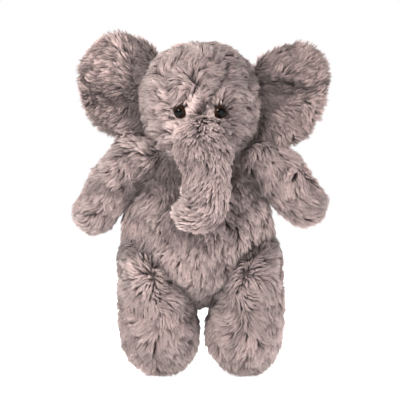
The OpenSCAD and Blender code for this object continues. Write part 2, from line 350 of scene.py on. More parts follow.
def arm_form(side):
    """A short arm held out and down, with a rounded paw."""
    name = SIDE_NAME[side]
    low, high = extent("arm_front_" + name, "arm_back_" + name)
    shoulder = joint_place("arm_" + name + "_swing")
    radius = 17.5
    outer = high[0] if side == LEFT else low[0]
    lift = 9 if side == LEFT else 2
    middle = (low[1] + high[1]) / 2 - 2.5
    paw = np.array([outer - side * (radius + 3), middle, low[2] + radius + lift])
    reach = unit(paw - shoulder)
    rows = [(*(shoulder + [-side * 14, 0, 26]), 21, 21, 0),
            (*(shoulder + [0, 0, 7]), 24.5, 22, 0),
            (*(shoulder + (paw - shoulder) * 0.5 + [side * 2, 0, 3]), 22, 21, 0),
            (*paw, radius, radius, 0),
            (*(paw + reach * radius * 0.9 - UP * 2), radius, radius, 0)]
    form = stuffed_form(rows, 20, radius, 52, 3.2)
    # Painted light on the left arm, which is on the far side from the key lamp
    painted_light = 0.13 if side == LEFT else 0.0
    form["painted_shading"] = np.full(len(form["points"]), -painted_light)
    return form


def trunk_rows():
    """The trunk's stations: out of the face, down over the belly, and round into a J."""
    root = joint_place("trunk_lift")
    bend = joint_place("trunk_curl")
    down = bend[2]
    y = bend[1]
    return [(root[0] - 1, root[1] + 14, root[2] + 5, 17, 15, 0),
            (root[0], root[1] + 1, root[2] - 1, 22, 18, 0),
            (root[0] + 1.5, root[1] - 10, root[2] - 13, 24, 19.5, 0),
            (bend[0] - 0.5, y, down + 6, 19.5, 18.5, 0),
            (bend[0] - 0.5, y - 2, down - 11, 18.2, 17, 0),
            (bend[0] - 0.5, y - 3, down - 23, 17.5, 16, 0),
            (bend[0] - 3.5, y - 4, down - 32, 15.5, 15, 0),
            (bend[0] - 11, y - 5, down - 36, 13.5, 14, 0),
            (bend[0] - 18.5, y - 6, down - 35, 12, 12.5, 0),
            (bend[0] - 25.5, y - 6.5, down - 32, 10.5, 11, 0)]


def trunk_form():
    """The whole trunk in one skin."""
    return stuffed_form(trunk_rows(), 10, 9, 48, 2.8)


def ear_form(side, half_thick=5.4, trim=0.0):
    """A big round ear: a thin padded pad, cupped forwards, with a fold across it.

    Its own coordinates: out from the head, v up, both from -1 to 1. Its along is 1 in front."""
    name = SIDE_NAME[side]
    low, high = extent("ear_front_" + name, "ear_back_" + name)
    half_wide = EAR_HALF_WIDE - trim
    half_tall = (high[2] - low[2]) / 2 - 2.2 - trim
    drop = 1.0 if side == LEFT else 0.0
    outer = high[0] + 1.0 if side == LEFT else low[0] + 2.5
    centre = np.append(0, (low[1:] + high[1:]) / 2) + [outer - side * EAR_HALF_WIDE, 0, -drop]
    rings, sides = 30, 84
    tilt = np.linspace(-math.pi / 2, math.pi / 2, rings + 2)
    angle = np.linspace(0, 2 * math.pi, sides, endpoint=False)
    reach = np.cos(tilt[1:-1]) ** 0.8
    depth = half_thick * np.sign(np.sin(tilt[1:-1])) * np.abs(np.sin(tilt[1:-1])) ** 0.75
    u = np.concatenate([[0], np.outer(reach, np.cos(angle)).ravel(), [0]])
    v = np.concatenate([[0], np.outer(reach, np.sin(angle)).ravel(), [0]])
    y = np.concatenate([[-half_thick], np.repeat(depth, sides), [half_thick]])
    out = u * side
    width = half_wide * (1 + 0.05 * v)
    lobe = np.clip(-out, 0, 1) * (18 * np.clip(-v, 0, 1) + 13 * np.clip(v, 0, 1))
    x = u * width - side * lobe
    z = v * half_tall
    rim = np.hypot(u, v)
    y = y - 10.0 * rim**2.4 + 3.0
    if side == RIGHT:
        crease = v + 0.30 - 0.20 * out + 0.08 * np.sin(3 * out)
        shear = 0.03
    else:
        crease = v - 0.16 + 0.10 * out + 0.06 * np.sin(4 * out)
        shear = 0.10
    lower = 1 / (1 + np.exp(crease / 0.04))
    fold = np.exp(-(crease / 0.09) ** 2)
    y = y + 10.0 * fold * (1 - 0.45 * rim) - 9.0 * lower * (0.4 + 0.6 * rim)
    # Painted shade on the lining: in the fold, in the hollow towards the head, and a little over the
    # whole lining, more on the right ear than the left
    painted_shading = (0.05 if side == LEFT else 0.2) + 0.75 * fold + 0.6 * np.clip(-out - 0.2, 0, 1)
    points = np.stack([x + shear * z, y, z + 0.08 * x * side], axis=1)
    front = np.concatenate([[1], np.repeat(tilt[1:-1] < 0, sides), [0]])
    faces = [tuple(reversed(f)) for f in grid_faces(rings, sides)]
    return {"points": points + centre, "faces": faces,
            "along": front.astype(float), "painted_shading": painted_shading * front}


def add_lumps(form, amount, size, seed):
    """Uneven filling under the skin."""
    normals = vertex_normals(form["points"], form["faces"])
    form["points"] = form["points"] + normals * (amount * waves(form["points"], size, seed))[:, None]


def face_outwards(form):
    """Turns all faces round if the form is inside out."""
    tris = triangles(form["faces"])
    a, b, c = (form["points"][tris[:, k]] for k in range(3))
    if np.sum(a * np.cross(b, c)) < 0:
        form["faces"] = [tuple(reversed(f)) for f in form["faces"]]


# ---- cloth

def at_seams(form, name):
    """Which points of a skin are at the seams between its panels."""
    points = form["points"]
    middle = points.mean(axis=0)
    if name == "head":
        gusset = extent("head_gusset")[1][0]
        return np.abs(np.abs(points[:, 0]) - gusset) < SEAM_WIDTH
    seam = np.abs(points[:, 1] - middle[1]) < SEAM_WIDTH
    if name == "torso":
        seam |= np.abs(points[:, 0]) < SEAM_WIDTH
    return seam


def swell(forms):
    """Lets the skins swell between their seams as cloth, all in one run, and keeps the shape."""
    scene = bpy.context.scene
    cloths = {}
    for name, form in forms.items():
        mesh = bpy.data.meshes.new("swell_" + name)
        mesh.from_pydata((form["points"] * MM).tolist(), [], form["faces"])
        obj = bpy.data.objects.new("swell_" + name, mesh)
        scene.collection.objects.link(obj)
        pins = obj.vertex_groups.new(name="pins")
        pins.add(np.nonzero(at_seams(form, name))[0].tolist(), 1.0, "ADD")
        cloth = obj.modifiers.new("cloth", "CLOTH")
        for key, value in CLOTH.items():
            setattr(cloth.settings, key, value)
        cloth.settings.effector_weights.gravity = 0
        cloth.collision_settings.use_collision = False
        cloths[name] = obj
    for step in range(1, SWELL_STEPS + 1):
        scene.frame_set(step)
    graph = bpy.context.evaluated_depsgraph_get()
    for name, obj in cloths.items():
        settled = obj.evaluated_get(graph).data
        co = np.zeros(len(settled.vertices) * 3)
        settled.vertices.foreach_get("co", co)
        move = co.reshape(-1, 3) / MM - forms[name]["points"]
        far = np.linalg.norm(move, axis=1, keepdims=True)
        move = move * np.minimum(1, SWELL_MOST / np.maximum(far, 1e-6))
        forms[name]["points"] = forms[name]["points"] + move
        mesh = obj.data
        bpy.data.objects.remove(obj)
        bpy.data.meshes.remove(mesh)
    scene.frame_set(1)


# ---- the pile

def face_areas(form):
    """Area of each triangle of a skin, in square millimetres."""
    tris = triangles(form["faces"])
    a, b, c = (form["points"][tris[:, k]] for k in range(3))
    return np.linalg.norm(np.cross(b - a, c - a), axis=1) / 2


def scatter(form, count, rng):
    """Random points on a skin, spread by area: their places, normals and values of along."""
    tris = triangles(form["faces"])
    points = form["points"]
    normals = vertex_normals(points, form["faces"])
    total = np.cumsum(face_areas(form))
    picked = np.minimum(np.searchsorted(total, rng.uniform(0, total[-1], count)), len(tris) - 1)
    r = np.sqrt(rng.uniform(size=(count, 1)))
    s = rng.uniform(size=(count, 1))
    weights = (1 - r, r * (1 - s), r * s)
    corners = tris[picked]
    place = sum(w * points[corners[:, k]] for k, w in enumerate(weights))
    normal = unit(sum(w * normals[corners[:, k]] for k, w in enumerate(weights)))
    along = sum(w[:, 0] * form["along"][corners[:, k]] for k, w in enumerate(weights))
    return place, normal, along


def depth_inside(points, form, margin=0.0):
    """How far each point is inside a skin, and less than zero outside it.

    Points further than the margin from the skin's box count as far away."""
    tree = BVHTree.FromPolygons(form["points"].tolist(), [list(f) for f in form["faces"]])
    low = form["points"].min(axis=0) - margin
    high = form["points"].max(axis=0) + margin
    near = np.all((points > low) & (points < high), axis=1)
    depth = np.full(len(points), -FAR)
    for i in np.nonzero(near)[0]:
        spot, normal, _, away = tree.find_nearest(points[i])
        inside = sum((points[i][k] - spot[k]) * normal[k] for k in range(3))
        depth[i] = away if inside < 0 else -away
    return depth


def closeness(points, forms, reach):
    """1 where a point touches one of the forms, fading to 0 some way off."""
    best = np.zeros(len(points))
    for form in forms:
        away = np.maximum(-depth_inside(points, form, 2.5 * reach), 0)
        best = np.maximum(best, np.exp(-(away / reach) ** 1.5))
    return best


def nearest(points, centres):
    """For each point, which centre is nearest."""
    tree = KDTree(len(centres))
    for i, spot in enumerate(centres):
        tree.insert(spot, i)
    tree.balance()
    return np.array([tree.find(spot)[1] for spot in points])


def pile_direction(points, normals, combing, seed, swirl):
    """The way the pile lies: combed, then swirled by smooth noise where the combing is weak.

    The second result is small where the combing parts, so that the pile stands there."""
    wanted = combing(points)
    flat = across(wanted, normals)
    combed = unit(flat)
    sideways = np.cross(normals, combed)
    firm = np.maximum(np.linalg.norm(wanted, axis=1), 1) ** 2
    turn = swirl * (waves(points, 30, seed) + 0.45 * waves(points, 13, seed + 1)) / firm
    lean = np.clip(np.linalg.norm(flat, axis=1) / 0.4, 0, 1)
    return combed * np.cos(turn)[:, None] + sideways * np.sin(turn)[:, None], lean


def grow(form, combing, seed, buried_in=(), meets=(), over=(),
         length=PILE_LENGTH, height=PILE_HEIGHT, swirl=SWIRL):
    """Fibres over a whole skin, in tufts that share a tip and clumps of tufts that lean together.

    None grow deep inside the forms they are buried in. The pile is shorter and has painted shade near
    the forms it meets, painted shadow under the forms over it, and the form's own painted shading.
    Returns arrays, one row for each fibre."""
    rng = np.random.default_rng(seed)
    area = float(face_areas(form).sum())
    root, normal, along = scatter(form, int(area * FIBRES_PER_MM2), rng)
    keep = np.ones(len(root), bool)
    for other in buried_in:
        keep &= depth_inside(root, other) < BURIED
    root, normal, along = root[keep], normal[keep], along[keep]
    count = len(root)

    tufts = int(area * FIBRES_PER_MM2 / FIBRES_PER_TUFT)
    centre, up, _ = scatter(form, tufts, rng)
    clumps = int(area / CLUMP_AREA)
    clump = nearest(centre, centre[:clumps])
    clump_off = np.linalg.norm(centre - centre[clump], axis=1) / math.sqrt(CLUMP_AREA / math.pi)
    clump_off = np.minimum(clump_off, 1.4)
    # Nearness to the forms the pile meets, where it is pressed shorter and given painted shade; then
    # painted shadow under the forms over it, plus the form's own painted shading
    crowd = closeness(centre, meets, CROWD_REACH)
    painted_shading = closeness(centre, over, PAINTED_SHADOW_REACH)
    if "painted_shading" in form:
        painted_shading = painted_shading + form["painted_shading"][nearest(centre, form["points"])]

    way, lean = pile_direction(centre, up, combing, seed + 10, swirl)
    reach = length * (0.4 + 0.6 * lean)[:, None]
    turn = 0.25 * swirl * rng.normal(size=clumps)[clump] + 0.20 * rng.normal(size=tufts)
    turn = turn[:, None]
    way = way * np.cos(turn) + np.cross(up, way) * np.sin(turn)
    tall = height * rng.uniform(0.8, 1.2, tufts)
    tall = (tall * (1.12 - 0.30 * clump_off**2) * (1 - 0.45 * crowd))[:, None]
    # Tone that differs at random from clump to clump and tuft to tuft; then painted shade at the
    # clumps' edges, in the creases and under the forms over the pile, with the form's own painted
    # shading (painted light where it is below zero)
    tone_and_painted_shade = 0.12 * rng.normal(size=clumps)[clump] + 0.14 * rng.normal(size=tufts)
    tone_and_painted_shade = tone_and_painted_shade + 0.06 - 0.12 * clump_off**2 - PAINTED_CREASE_SHADE * crowd - PAINTED_SHADING_STRENGTH * painted_shading

    own = nearest(root, centre)
    radius = math.sqrt(FIBRES_PER_TUFT / FIBRES_PER_MM2 / math.pi)
    off = np.linalg.norm(root - centre[own], axis=1, keepdims=True) / radius
    lie = unit(across(way[own] + 0.24 * rng.normal(size=(count, 3)), normal))
    rise = tall[own] * (1 - 0.25 * np.minimum(off, 1.3) ** 2) * rng.uniform(0.85, 1.12, (count, 1))
    run = reach[own] * rng.uniform(0.75, 1.1, (count, 1))
    middle = root + normal * rise * FIBRE_BEND[0] + lie * run * FIBRE_BEND[1]
    tip = root + normal * rise + lie * run
    tuft_middle = centre + up * tall * 0.70 + way * reach * 0.40
    tuft_tip = centre + up * tall * 1.02 + way * reach * 1.04
    tuft_tip = tuft_tip + (tuft_tip[clump] - tuft_tip) * CLUMP_PULL
    middle = middle + (tuft_middle[own] - middle) * TUFT_PULL * 0.55
    tip = tip + (tuft_tip[own] - tip) * TUFT_PULL
    tone = 0.5 + 0.13 * waves(root, 34, seed + 20) + tone_and_painted_shade[own] + 0.14 * rng.normal(size=count)
    return {"root": root, "normal": normal, "middle": middle, "tip": tip, "along": along,
            "side": unit(np.cross(lie, normal)), "tone": np.clip(tone, 0.02, 0.98)}


def fibre_mesh(pile, chosen):
    """Closed three-sided fibres, pointed at both ends: points, triangles and (tone, along) pairs."""
    root, normal, middle, tip, side, tone = (
        pile[k][chosen] for k in ("root", "normal", "middle", "tip", "side", "tone"))
    count = len(root)
    bent = unit(np.cross(side, tip - root))
    corners = [root - normal * 0.5]
    for k in range(3):
        turn = 2 * math.pi * k / 3
        corners.append(middle + FIBRE_RADIUS * (side * math.cos(turn) - bent * math.sin(turn)))
    corners.append(tip)
    points = np.stack(corners, axis=1)
    points[:, :, 2] = np.maximum(points[:, :, 2], LOWEST)
    pattern = np.array([(0, 1, 2), (0, 2, 3), (0, 3, 1), (2, 1, 4), (3, 2, 4), (1, 3, 4)])
    tris = pattern[None, :, ::-1] + 5 * np.arange(count)[:, None, None]
    spread = np.array([0.0, -0.006, 0.0, 0.006, 0.0])
    up = np.array([0.0, 0.5, 0.5, 0.5, 1.0])
    uv = np.stack([np.clip(tone[:, None] + spread[None], 0.002, 0.998),
                   np.tile(0.02 + 0.96 * up, (count, 1))], axis=2)
    return points.reshape(-1, 3), tris.reshape(-1, 3), uv.reshape(-1, 2)


def backing_mesh(form, wanted, seed):
    """The woven backing of one panel: the wanted faces of the skin, with a thickness."""
    tris = triangles(form["faces"])
    middle = form["points"][tris].mean(axis=1)
    kept = tris[wanted(middle, form["along"][tris].mean(axis=1))]
    used, kept = np.unique(kept, return_inverse=True)
    kept = kept.reshape(-1, 3)
    outer = form["points"][used]
    normals = vertex_normals(form["points"], form["faces"])[used]
    inner = outer - normals * BACKING
    n = len(used)
    edges = np.concatenate([kept[:, [0, 1]], kept[:, [1, 2]], kept[:, [2, 0]]])
    known = set(map(tuple, edges.tolist()))
    rim = np.array([e for e in edges.tolist() if (e[1], e[0]) not in known]).reshape(-1, 2)
    sides = np.concatenate([
        np.stack([rim[:, 1], rim[:, 0], rim[:, 0] + n], axis=1),
        np.stack([rim[:, 1], rim[:, 0] + n, rim[:, 1] + n], axis=1)])
    points = np.vstack([outer, inner])
    faces = np.concatenate([kept, kept[:, ::-1] + n, sides])
    # The backing sits near the root end of the plush ramp, so it takes the near-black root colour:
    # painted shade deep in the pile
    u = 0.5 + 0.35 * waves(points, 14, seed)
    v = 0.03 + 0.02 * waves(points, 9, seed + 1)
    return points, faces, np.stack([u, v], axis=1)


# ---- Blender objects

def mesh_object(name, points, tris, uv=None):
    """A smooth-shaded object from arrays in millimetres."""
    mesh = bpy.data.meshes.new(name)
    mesh.vertices.add(len(points))
    mesh.vertices.foreach_set("co", (points * MM).astype(np.float32).ravel())
    mesh.loops.add(3 * len(tris))
    mesh.loops.foreach_set("vertex_index", tris.astype(np.int32).ravel())
    mesh.polygons.add(len(tris))
    mesh.polygons.foreach_set("loop_start", np.arange(0, 3 * len(tris), 3, dtype=np.int32))
    mesh.polygons.foreach_set("use_smooth", np.ones(len(tris), bool))
    mesh.update(calc_edges=True)
    if uv is not None:
        layer = mesh.uv_layers.new(name="OFBake")
        layer.data.foreach_set("uv", uv[tris.ravel()].astype(np.float32).ravel())
    obj = bpy.data.objects.new(name, mesh)
    bpy.context.scene.collection.objects.link(obj)
    return obj


def plush_object(name, form, pile, wanted, material, seed):
    """One sewn panel: its woven backing and its pile, in one object."""
    chosen = np.nonzero(wanted(pile["root"], pile["along"]))[0]
    if len(chosen) > MOST_FIBRES:
        chosen = np.sort(np.random.default_rng(seed).permutation(chosen)[:MOST_FIBRES])
    points, tris, uv = backing_mesh(form, wanted, seed)
    fibre_points, fibre_tris, fibre_uv = fibre_mesh(pile, chosen)
    obj = mesh_object(name, np.vstack([points, fibre_points]),
                      np.concatenate([tris, fibre_tris + len(points)]), np.vstack([uv, fibre_uv]))
    obj.data.materials.append(material)
    return obj


def filling_object(name, form, material, seed, inset):
    """A lumpy closed body of filling, set in from the skin."""
    points, faces = form["points"], form["faces"]
    rough = 0.26 * waves(points, 16, seed) + 0.16 * waves(points, 7, seed + 1)
    points = points - vertex_normals(points, faces) * (inset * (1 + rough))[:, None]
    obj = mesh_object(name, points, triangles(faces))
    obj.data.materials.append(material)
    return obj


# ---- materials

def set_inputs(node, values):
    """Sets the values of some of a node's inputs."""
    for name, value in values.items():
        node.inputs[name].default_value = value


def add_node(tree, kind, values=None, **settings):
    """A new shader node, with some of its settings and then some of its inputs set."""
    node = tree.nodes.new("ShaderNode" + kind)
    for name, value in settings.items():
        setattr(node, name, value)
    set_inputs(node, values or {})
    return node


def new_material(name):
    """A material with its node tree cleared down to a Principled shader and an output."""
    material = bpy.data.materials.new(name)
    material.use_nodes = True
    tree = material.node_tree
    tree.nodes.clear()
    shader = add_node(tree, "BsdfPrincipled")
    output = add_node(tree, "OutputMaterial")
    tree.links.new(shader.outputs["BSDF"], output.inputs["Surface"])
    return material, tree, shader


def ramp(tree, source, stops):
    """A colour ramp fed by a socket; stops are (place, colour) pairs."""
    node = add_node(tree, "ValToRGB")
    elements = node.color_ramp.elements
    while len(elements) < len(stops):
        elements.new(0.5)
    for element, (place, colour) in zip(elements, stops):
        element.position = place
        element.color = (*colour, 1)
    tree.links.new(source, node.inputs["Fac"])
    return node.outputs["Color"]


def grey(value):
    """A neutral colour."""
    return (value, value, value)


def plush_material(name, root, body, tip, low_tone, high_tone):
    """Plush: painted shade at the fibres' roots, dark between the tufts, paler at the fibres' ends,
    and uneven from tuft to tuft.
    """
    material, tree, shader = new_material(name)
    uv = add_node(tree, "UVMap", uv_map="OFBake")
    split = add_node(tree, "SeparateXYZ")
    tree.links.new(uv.outputs["UV"], split.inputs[0])
    between = tuple(0.6 * r + 0.4 * b for r, b in zip(root, body))
    # The near-black root colour and the blend above it are painted shade deep in the pile
    lengthways = ramp(tree, split.outputs["Y"],
                      [(0.0, root), (0.30, between), (0.62, body), (1.0, tip)])
    tone = ramp(tree, split.outputs["X"], [(0.0, low_tone), (0.5, grey(1.0)), (1.0, high_tone)])
    mix = add_node(tree, "Mix", {"Factor": 1.0}, data_type="RGBA", blend_type="MULTIPLY")
    tree.links.new(lengthways, mix.inputs["A"])
    tree.links.new(tone, mix.inputs["B"])
    tree.links.new(mix.outputs["Result"], shader.inputs["Base Color"])
    set_inputs(shader, {"Roughness": 0.85, "Specular IOR Level": 0.25, "Sheen Weight": 0.25,
                        "Sheen Roughness": 0.5, "Sheen Tint": (1.0, 0.88, 0.86, 1)})
    return material


def mottled_material(name, scale, detail, dark, pale, roughness, bump_strength, bump_depth):
    """A matt material mottled by fine noise: its colour, its roughness and its relief."""
    material, tree, shader = new_material(name)
    noise = add_node(tree, "TexNoise", {"Scale": scale, "Detail": detail})
    colour = ramp(tree, noise.outputs["Fac"], [(0.3, dark), (0.7, pale)])
    rough = ramp(tree, noise.outputs["Fac"], [(0.3, grey(roughness[0])), (0.7, grey(roughness[1]))])
    bump = add_node(tree, "Bump", {"Strength": bump_strength, "Distance": bump_depth})
    tree.links.new(noise.outputs["Fac"], bump.inputs["Height"])
    tree.links.new(colour, shader.inputs["Base Color"])
    tree.links.new(rough, shader.inputs["Roughness"])
    tree.links.new(bump.outputs["Normal"], shader.inputs["Normal"])
    return material


def filling_material():
    """Loose polyester fibre: nearly white, mottled and matt."""
    return mottled_material("filling_fibre", 220, 6, (0.62, 0.60, 0.56), (0.86, 0.85, 0.82),
                            (0.95, 0.8), 0.6, 0.0008)


def washer_material():
    """Moulded nylon of the eyes' washers."""
    return mottled_material("washer_nylon", 900, 2, (0.55, 0.55, 0.52), (0.70, 0.70, 0.67),
                            (0.45, 0.6), 0.2, 0.0002)


def eye_material():
    """Glossy moulded eye: a black pupil in a brown ring that shades to a dark rim."""
    material, tree, shader = new_material("eye_gloss")
    place = add_node(tree, "TexCoord")
    flat = add_node(tree, "VectorMath", {1: (1, 0, 1)}, operation="MULTIPLY")
    far = add_node(tree, "VectorMath", operation="LENGTH")
    scale = add_node(tree, "Math", {1: 1 / (EYE_RADIUS * MM)}, operation="MULTIPLY")
    tree.links.new(place.outputs["Object"], flat.inputs[0])
    tree.links.new(flat.outputs["Vector"], far.inputs[0])
    tree.links.new(far.outputs["Value"], scale.inputs[0])
    colour = ramp(tree, scale.outputs["Value"], [
        (0.0, (0.002, 0.002, 0.002)), (0.72, (0.003, 0.002, 0.002)), (0.80, (0.016, 0.007, 0.003)),
        (0.92, (0.048, 0.017, 0.007)), (1.0, (0.008, 0.004, 0.003))])
    tree.links.new(colour, shader.inputs["Base Color"])
    noise = add_node(tree, "TexNoise", {"Scale": 500})
    rough = ramp(tree, noise.outputs["Fac"], [(0.35, grey(0.04)), (0.7, grey(0.09))])
    tree.links.new(rough, shader.inputs["Roughness"])
    set_inputs(shader, {"Specular IOR Level": 0.13})
    return material


def eye_object(side, material):
    """A glossy domed eye with a short rim behind it, turned slightly outwards."""
    rings, sides = 16, 48
    angle = np.linspace(0, 2 * math.pi, sides, endpoint=False)
    profile = [(EYE_RADIUS * math.sin(t), -EYE_DOME * math.cos(t))
               for t in np.linspace(0, math.pi / 2, rings + 1)[1:]]
    profile += [(EYE_RADIUS + 0.15, 0.4), (EYE_RADIUS, 1.0),
                (EYE_RADIUS * 0.8, 1.4), (EYE_RADIUS * 0.4, 1.5)]
    points = [(0.0, -EYE_DOME, 0.0)]
    for r, y in profile:
        points += [(r * math.cos(a), y, r * math.sin(a)) for a in angle]
    points.append((0.0, 1.5, 0.0))
    form = {"points": np.array(points), "faces": grid_faces(len(profile), sides)}
    face_outwards(form)
    obj = mesh_object("eye_" + SIDE_NAME[side] + "_dome", form["points"], triangles(form["faces"]))
    obj.data.materials.append(material)
    front = eye_place(side)
    obj.location = tuple((front + [0, EYE_DOME - EYE_FORWARD, 0]) * MM)
    obj.rotation_euler = (math.radians(4), 0, math.radians(side * 16))
    return obj


# ---- which way each part is combed

def comb_from(spot, droop):
    """Combed away from a spot, and a little downwards."""
    def combing(points):
        return unit(points - spot) - UP * droop
    return combing


def part_at_eyes(points):
    """A combing straight away from each eye, close to it."""
    total = np.zeros_like(points)
    for side in SIDES:
        offset = points - eye_place(side)
        offset[:, 1] = 0
        away = np.linalg.norm(offset, axis=1, keepdims=True)
        total += unit(offset) * 1.8 * np.exp(-(away / EYE_DIMPLE) ** 2)
    return total


def comb_head(muzzle, gusset):
    """Combed away from the muzzle: up over the gusset, and out and down over the cheeks."""
    def combing(points):
        sideways = np.zeros_like(points)
        sideways[:, 0] = np.tanh((points[:, 0] + 4) / (1.3 * gusset)) + 3 * part_at_brow(points)
        edge = 1 / (1 + np.exp(-(np.abs(points[:, 0]) - gusset) / 5))[:, None]
        high = np.clip((points[:, 2] - muzzle[2]) / 60, 0, 1)[:, None]
        rising = UP * (0.5 * high - 0.75 * edge)
        spreading = unit(points - muzzle) * 0.6 + sideways * (0.35 + 0.6 * edge)
        return spreading + rising + part_at_eyes(points)
    return combing


def comb_trunk(stations, root):
    """Combed along the trunk, and down its sides where it leaves the face."""
    line = spline([row[:3] for row in stations], 200)
    ahead = unit(np.gradient(line, axis=0))

    def combing(points):
        away = np.linalg.norm(points[:, None] - line[None, ::4], axis=2)
        onwards = ahead[::4][np.argmin(away, axis=1)]
        high = np.clip((points[:, 2] - root[2] + 26) / 26, 0, 1)[:, None]
        sideways = np.zeros_like(points)
        sideways[:, 0] = np.tanh((points[:, 0] - root[0]) / 9)
        return onwards + high * (sideways * 0.9 - UP * 0.5) + part_at_eyes(points)
    return combing


def clear_eyes(pile):
    """Shortens the pile round the eyes, bends it round their rims, and drops what still crosses."""
    rng = np.random.default_rng(5)
    keep = np.ones(len(pile["root"]), bool)
    for side in SIDES:
        eye = eye_place(side)
        front = pile["root"][:, 1] < eye[1] + 25
        away = np.linalg.norm((pile["root"] - eye)[:, [0, 2]], axis=1)
        clear = np.where(front, np.clip((away - EYE_RADIUS) / EYE_PARTING, 0, 1), 1)
        rim = (EYE_RADIUS + 1.2 * rng.uniform(size=len(away)))[:, None]
        for key, least in (("middle", 0.85), ("tip", 0.6)):
            short = (least + (1 - least) * clear)[:, None]
            pile[key] = pile["root"] + (pile[key] - pile["root"]) * short
            offset = (pile[key] - eye)[:, [0, 2]]
            crosses = front[:, None] & (np.linalg.norm(offset, axis=1, keepdims=True) < rim)
            bent = eye[[0, 2]] + unit(offset) * rim
            pile[key][:, [0, 2]] = np.where(crosses, bent, pile[key][:, [0, 2]])
        for share in np.linspace(0, 1, 5):
            for start, end in (("root", "middle"), ("middle", "tip")):
                spot = pile[start] + (pile[end] - pile[start]) * share
                from_eye = np.linalg.norm((spot - eye)[:, [0, 2]], axis=1)
                keep &= ~(front & (from_eye < EYE_RADIUS - 1.0))
    for key in pile:
        pile[key] = pile[key][keep]


# ---- which piece stands for what

def front_half(middle, front):
    """Chooses the part of a skin before a depth, or behind it."""
    return lambda points, along: (points[:, 1] < middle) == front


def torso_quarter(middle, side, front):
    """Chooses a quarter of the torso's skin."""
    return lambda points, along: (points[:, 0] * side >= 0) & ((points[:, 1] < middle) == front)


def ear_half(front):
    """Chooses an ear's front or its back, which its along tells apart."""
    return lambda points, along: (along > 0.5) == front


def stand_for(obj, node, slot, body=None, bodies=None, zone=None, fill=0.7):
    """Puts a piece in place of a CAD node, whose part it hides, and parents it to its body if it has
    one; its finish, the slot, is not used.

    It rides on one body, or else keeps its place; bodies and zone, for a blend from one body to
    another between the two ends of a zone, are not used."""
    if body:
        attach(obj, body)
    else:
        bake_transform(obj)
    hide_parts(node)


def plush_panel(node, form, pile, wanted, material, seed, slot="plush", **moves):
    """A plush panel in place of a CAD node."""
    obj = plush_object(node + "_plush", form, pile, wanted, material, seed)
    stand_for(obj, node, slot, **moves)


def filling(node, form, material, seed, inset=BACKING + FILLING_GAP, **moves):
    """A body of filling in place of a CAD node."""
    stand_for(filling_object(node + "_fibre", form, material, seed, inset), node, "filling", **moves)


# ---- the parts of the toy

def sewn_forms():
    forms = {"torso": torso_form(), "head": head_form(), "trunk": trunk_form()}
    for side in SIDES:
        name = SIDE_NAME[side]
        forms["leg_" + name] = leg_form(side)
        forms["arm_" + name] = arm_form(side)
        forms["ear_" + name] = ear_form(side)
    for k, form in enumerate(forms.values()):
        face_outwards(form)
        add_lumps(form, LUMP_HEIGHT, LUMP_SIZE, 100 + k)
    stiff = ("trunk", "ear_left", "ear_right")
    swell({name: form for name, form in forms.items() if name not in stiff})
    return forms


def make_looks():
    """The materials of the sewn parts and their filling, by name."""
    # The root colours are painted shade deep in the pile
    plush = plush_material(
        "plush_fur", root=(0.036, 0.024, 0.024), body=(0.372, 0.279, 0.268),
        tip=(0.80, 0.645, 0.622), low_tone=grey(0.32), high_tone=(1.42, 1.40, 1.39))
    lining = plush_material(
        "plush_ear_lining", root=(0.031, 0.020, 0.019), body=(0.335, 0.247, 0.237),
        tip=(0.77, 0.605, 0.575), low_tone=grey(0.26), high_tone=(1.46, 1.44, 1.43))
    return {"plush": plush, "lining": lining, "filling": filling_material()}


def make_torso(forms, looks):
    """The body: four plush panels and the filling."""
    form = forms["torso"]
    middle = (form["points"].min(axis=0) + form["points"].max(axis=0)) / 2
    near = [forms[n] for n in ("head", "leg_left", "leg_right", "arm_left", "arm_right")]
    above = [forms["head"], forms["trunk"]]
    # The head and trunk cast painted shadow on the chest; beside the near parts the pile is pressed
    # shorter and given painted shade
    pile = grow(form, comb_from(middle + UP * 90, 0.6), 11, near, near, above)
    for side in SIDES:
        for front in (True, False):
            node = "torso_" + ("front_" if front else "back_") + SIDE_NAME[side]
            wanted = torso_quarter(middle[1], side, front)
            seed = 31 + side + 4 * front
            plush_panel(node, form, pile, wanted, looks["plush"], seed, body="torso")
    filling("torso_filling", form, looks["filling"], 41, body="torso")


def make_head(forms, looks):
    """The head: two side panels, the gusset between them, and the filling."""
    form = forms["head"]
    gusset = extent("head_gusset")[1][0]
    muzzle = joint_place("trunk_lift") + UP * 2
    pile = grow(form, comb_head(muzzle, gusset), 12, [forms["torso"], forms["trunk"]], swirl=1.7)
    clear_eyes(pile)
    panels = {"head_side_left": lambda points, along: points[:, 0] >= gusset,
              "head_side_right": lambda points, along: points[:, 0] <= -gusset,
              "head_gusset": lambda points, along: np.abs(points[:, 0]) < gusset}
    for node, wanted in panels.items():
        plush_panel(node, form, pile, wanted, looks["plush"], 50, body="head")
    filling("head_filling", form, looks["filling"], 42, body="head")


def make_eyes():
    """The glossy eyes, and a better material for the CAD's washers behind them."""
    glossy = eye_material()
    nylon = washer_material()
    for side in SIDES:
        obj = eye_object(side, glossy)
        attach(obj, "head")
        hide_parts("eye_" + SIDE_NAME[side])
        for slot in frame["nodes"]["eye_washer_" + SIDE_NAME[side]].material_slots:
            slot.material = nylon


